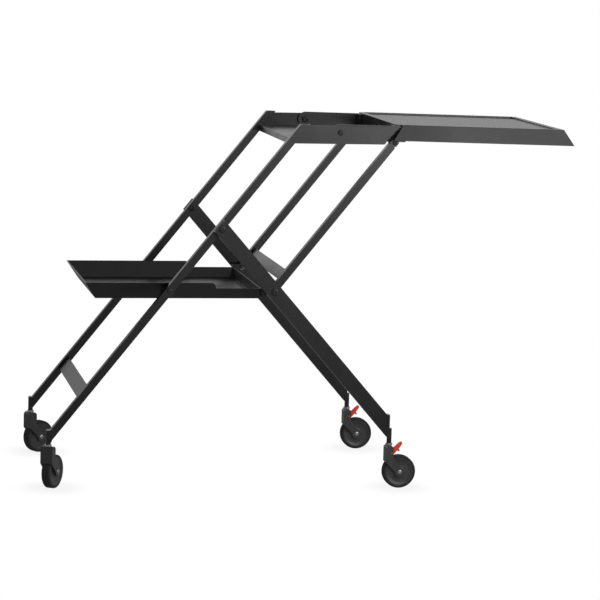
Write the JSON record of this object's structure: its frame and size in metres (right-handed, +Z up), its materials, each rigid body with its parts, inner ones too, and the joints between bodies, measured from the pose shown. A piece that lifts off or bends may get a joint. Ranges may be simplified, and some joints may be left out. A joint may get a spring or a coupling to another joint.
{
  "type": "serving trolley",
  "caption": "Black folding serving trolley with crossed side frames, a long upper tray, a lower tray and swivel casters with red brake levers at the front.",
  "frame": {"origin": "on the floor, under the middle of the whole trolley's bounding box", "axes": "+X runs from the rear casters to the overhanging end of the upper tray, +Z is up, -Y is the side nearest the camera"},
  "size_m": [1.0751, 0.448, 0.7392],
  "materials": {
    "black_frame": "satin black powder coat",
    "black_sheet": "satin black powder coat on sheet steel",
    "plug_plastic": "matt black moulded plastic",
    "black_bolt": "blackened steel",
    "nylon": "black nylon",
    "caster_steel": "zinc plated steel",
    "caster_plastic": "fine textured black plastic",
    "tyre_rubber": "matt black rubber",
    "brake_red": "red moulded plastic"
  },
  "bodies": {
    "rear_frame": {"rear_leg_near": "black_frame", "rear_leg_far": "black_frame", "rear_leg_plugs": "plug_plastic", "rear_stem_brackets": "black_frame", "rear_leg_strap": "black_sheet", "top_plate_near": "black_sheet", "top_plate_far": "black_sheet", "top_cross_plate": "black_sheet", "crossing_bolts": "black_bolt", "crossing_washers": "nylon", "tray_bolts": "black_bolt", "tray_washers": "nylon", "knee_bolts": "black_bolt", "knee_washers": "nylon"},
    "front_frame": {"front_leg_near": "black_frame", "front_leg_far": "black_frame", "front_leg_plugs": "plug_plastic", "front_stem_brackets": "black_frame", "hook_bolts": "black_bolt", "hook_washers": "nylon"},
    "link_frame": {"link_near": "black_frame", "link_far": "black_frame", "link_plugs": "plug_plastic", "link_strap": "black_sheet", "link_bolts": "black_bolt"},
    "top_tray": {"upper_tray": "black_sheet", "upper_arm_near": "black_sheet", "upper_arm_far": "black_sheet"},
    "bottom_tray": {"lower_tray": "black_sheet", "tray_hooks": "black_sheet", "tray_lugs": "black_sheet"},
    "rn_caster": {"rn_stem": "caster_steel", "rn_housing": "caster_plastic"},
    "rn_wheel": {"rn_rim": "caster_plastic", "rn_tyre": "tyre_rubber", "rn_axle": "caster_steel"},
    "rf_caster": {"rf_stem": "caster_steel", "rf_housing": "caster_plastic"},
    "rf_wheel": {"rf_rim": "caster_plastic", "rf_tyre": "tyre_rubber", "rf_axle": "caster_steel"},
    "fn_caster": {"fn_stem": "caster_steel", "fn_housing": "caster_plastic"},
    "fn_wheel": {"fn_rim": "caster_plastic", "fn_tyre": "tyre_rubber", "fn_axle": "caster_steel"},
    "fn_lever": {"fn_brake": "brake_red"},
    "ff_caster": {"ff_stem": "caster_steel", "ff_housing": "caster_plastic"},
    "ff_wheel": {"ff_rim": "caster_plastic", "ff_tyre": "tyre_rubber", "ff_axle": "caster_steel"},
    "ff_lever": {"ff_brake": "brake_red"}
  },
  "joints": [
    {"name": "fold", "type": "hinge", "parent": "rear_frame", "child": "front_frame", "pos_m": [-0.184, 0, 0.529], "axis": [0, 1, 0], "range_deg": [0, 56]},
    {"name": "link_fold", "type": "hinge", "parent": "front_frame", "child": "link_frame", "pos_m": [-0.07384, 0, 0.40272], "axis": [0, 1, 0], "range_deg": [-44, 0]},
    {"name": "knee_fold", "type": "hinge", "parent": "rear_frame", "child": "top_tray", "pos_m": [0.056, 0, 0.722], "axis": [0, 1, 0], "range_deg": [0, 75]},
    {"name": "tray_lift", "type": "hinge", "parent": "rear_frame", "child": "bottom_tray", "pos_m": [-0.28444, 0, 0.40272], "axis": [0, 1, 0], "range_deg": [-44, 0]},
    {"name": "rn_swivel", "type": "hinge", "parent": "rear_frame", "child": "rn_caster", "pos_m": [-0.521, -0.1915, 0.09], "axis": [0, 0, 1], "continuous": true},
    {"name": "rn_roll", "type": "hinge", "parent": "rn_caster", "child": "rn_wheel", "pos_m": [-0.50993, -0.17307, 0.034], "axis": [-0.8572, 0.515, 0], "continuous": true},
    {"name": "rf_swivel", "type": "hinge", "parent": "rear_frame", "child": "rf_caster", "pos_m": [-0.521, 0.1915, 0.09], "axis": [0, 0, 1], "continuous": true},
    {"name": "rf_roll", "type": "hinge", "parent": "rf_caster", "child": "rf_wheel", "pos_m": [-0.50238, 0.20225, 0.034], "axis": [-0.5, 0.866, 0], "continuous": true},
    {"name": "fn_swivel", "type": "hinge", "parent": "front_frame", "child": "fn_caster", "pos_m": [0.172, -0.2075, 0.09], "axis": [0, 0, 1], "continuous": true},
    {"name": "fn_roll", "type": "hinge", "parent": "fn_caster", "child": "fn_wheel", "pos_m": [0.1935, -0.2075, 0.034], "axis": [0, 1, 0], "continuous": true},
    {"name": "fn_brake_press", "type": "hinge", "parent": "fn_caster", "child": "fn_lever", "pos_m": [0.176, -0.2075, 0.073], "axis": [0, 1, 0], "range_deg": [0, 16]},
    {"name": "ff_swivel", "type": "hinge", "parent": "front_frame", "child": "ff_caster", "pos_m": [0.172, 0.2075, 0.09], "axis": [0, 0, 1], "continuous": true},
    {"name": "ff_roll", "type": "hinge", "parent": "ff_caster", "child": "ff_wheel", "pos_m": [0.1935, 0.2075, 0.034], "axis": [0, 1, 0], "continuous": true},
    {"name": "ff_brake_press", "type": "hinge", "parent": "ff_caster", "child": "ff_lever", "pos_m": [0.176, 0.2075, 0.073], "axis": [0, 1, 0], "range_deg": [0, 16]}
  ],
  "couplings": [
    {"joint": "link_fold", "follows": "fold", "ratio": -0.769},
    {"joint": "knee_fold", "follows": "fold", "ratio": 1.3216},
    {"joint": "tray_lift", "follows": "fold", "ratio": -0.78}
  ]
}
